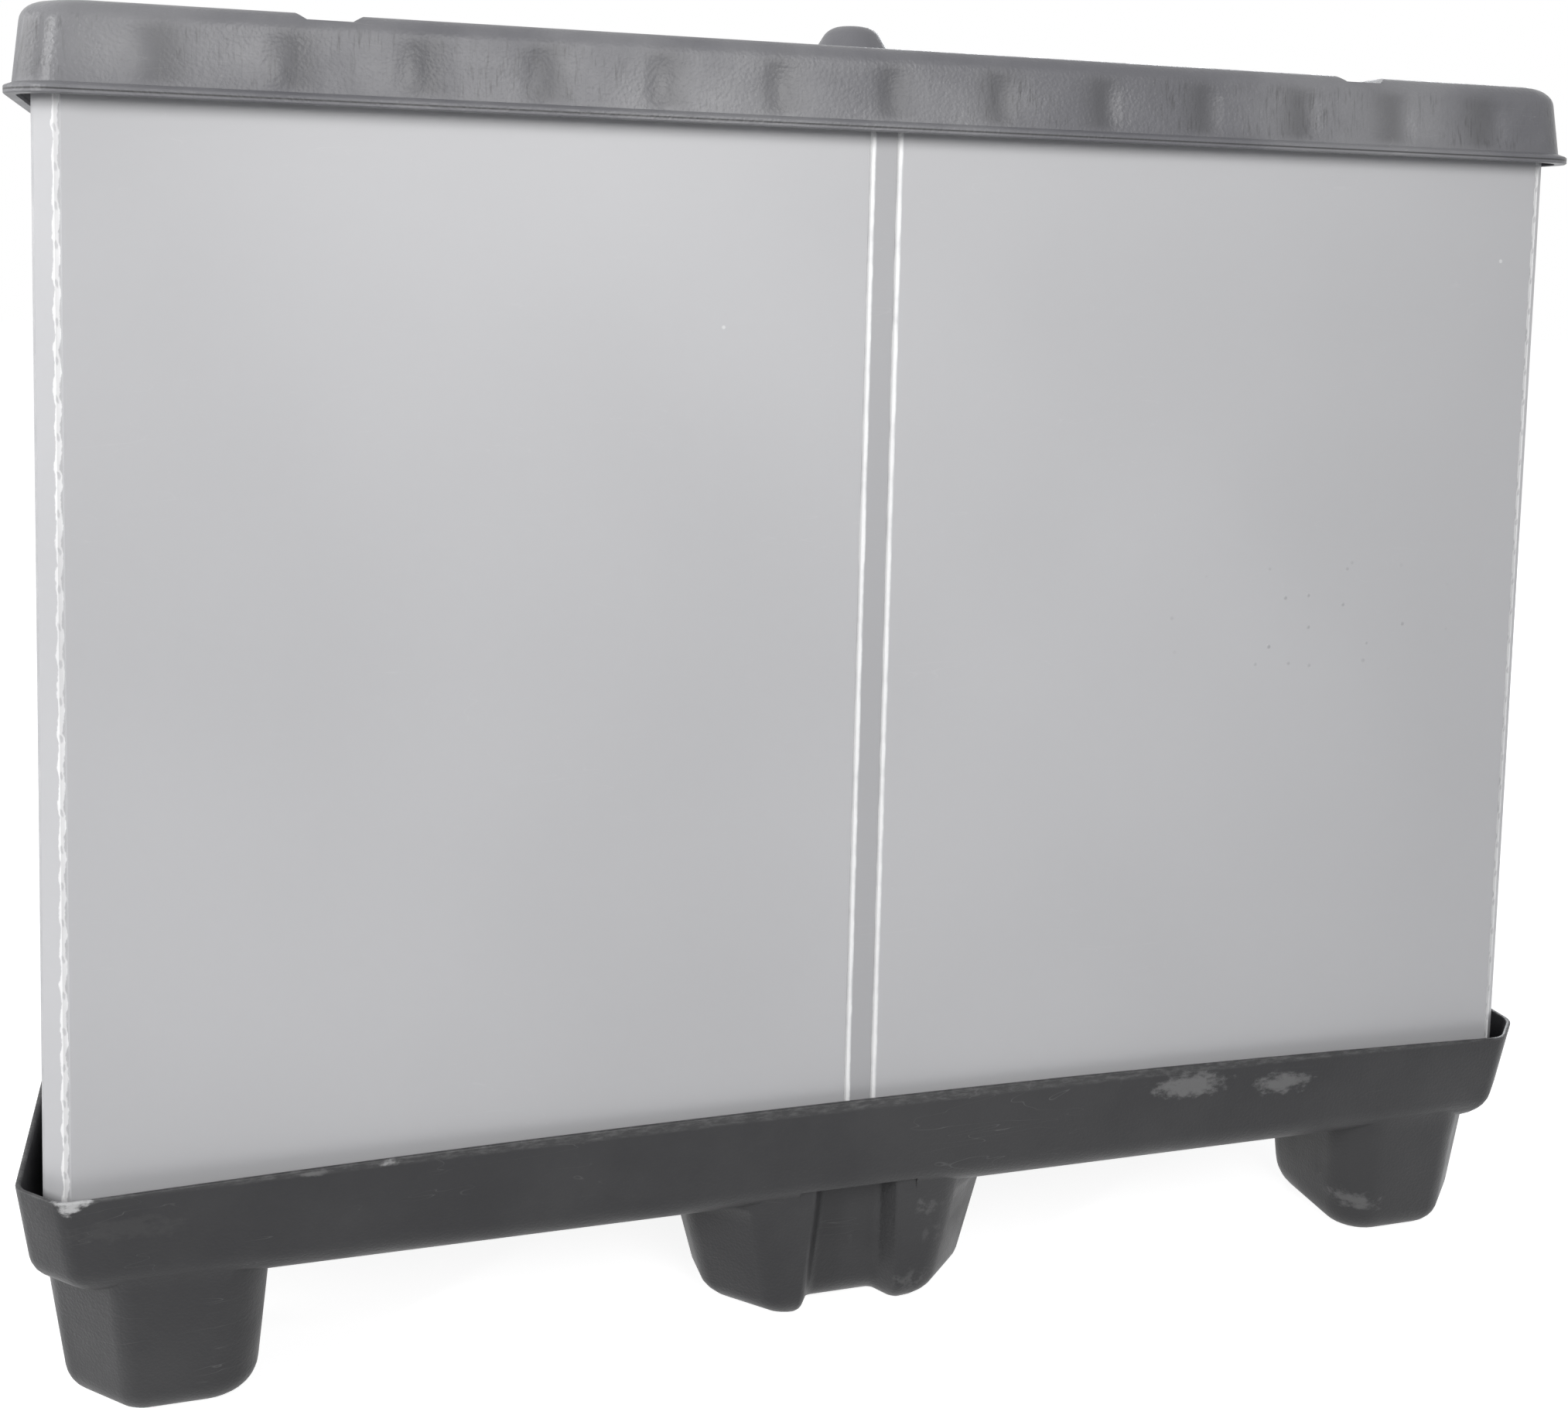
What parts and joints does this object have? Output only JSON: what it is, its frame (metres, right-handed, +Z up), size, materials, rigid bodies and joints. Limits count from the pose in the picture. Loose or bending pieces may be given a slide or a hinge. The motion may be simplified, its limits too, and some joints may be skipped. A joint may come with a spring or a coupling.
{
  "type": "pallet box",
  "caption": "Closed returnable pallet box: a formed plastic tray on hollow legs, a folding sleeve of light grey bubble board and a formed lid with a fluted skirt.",
  "frame": {"origin": "middle of the footprint, on the floor under the feet of the legs", "axes": "+X along the long side, to the right seen from the front; +Y from front to back; +Z up"},
  "size_m": [1.2, 1, 0.9936],
  "materials": {
    "tray_plastic": "satin, lightly scuffed, worn pale along the rim",
    "sleeve_board": "satin, faintly dimpled by the bubbles, whitened along its creases",
    "lid_plastic": "satin leather grain with faint draw lines"
  },
  "bodies": {
    "root": {"pallet_base": "tray_plastic", "sleeve": "sleeve_board", "lid": "lid_plastic"}
  },
  "joints": []
}
